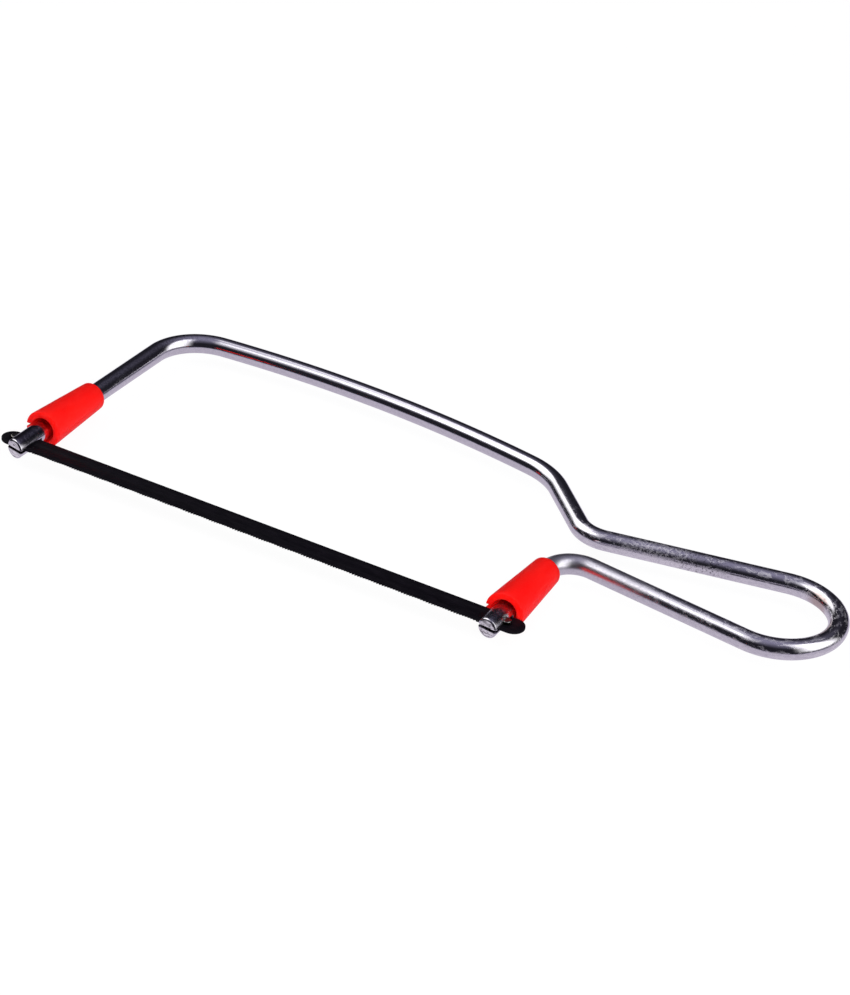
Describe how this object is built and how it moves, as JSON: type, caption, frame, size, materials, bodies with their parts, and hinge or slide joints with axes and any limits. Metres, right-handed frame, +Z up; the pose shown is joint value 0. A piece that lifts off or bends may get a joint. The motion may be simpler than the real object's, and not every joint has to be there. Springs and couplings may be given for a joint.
{
  "type": "junior hacksaw",
  "caption": "Small hacksaw: one bent wire frame with a loop handle holds a pinned blade in tension, with tapered plastic sleeves on its arms.",
  "frame": {"origin": "centre of the bounding box in plan, on the surface that the saw lies on", "axes": "saw lying flat: +X along the blade from the front tip towards the loop of the handle, +Y from the teeth towards the back of the frame, +Z up, square to the plane of the frame"},
  "size_m": [0.227, 0.0894, 0.0108],
  "materials": {
    "bright_wire": "polished plating with fine rubs and handling marks",
    "black_blade": "thin black lacquer over rolled steel strip, satin",
    "pin_steel": "bare cut steel",
    "red_plastic": "moulded, semi-gloss"
  },
  "bodies": {
    "frame": {"frame_rod": "bright_wire", "blade": "black_blade", "blade_pins": "pin_steel"},
    "front_sleeve": {"front_sleeve": "red_plastic"},
    "rear_sleeve": {"rear_sleeve": "red_plastic"}
  },
  "joints": [
    {"name": "front_sleeve_slide", "type": "slide", "parent": "frame", "child": "front_sleeve", "axis": [0, 1, 0], "range_m": [-0.0047, 0.0315]},
    {"name": "rear_sleeve_turn", "type": "hinge", "parent": "frame", "child": "rear_sleeve", "pos_m": [0.03729, -0.035, 0.0054], "axis": [0, 1, 0], "continuous": true}
  ]
}
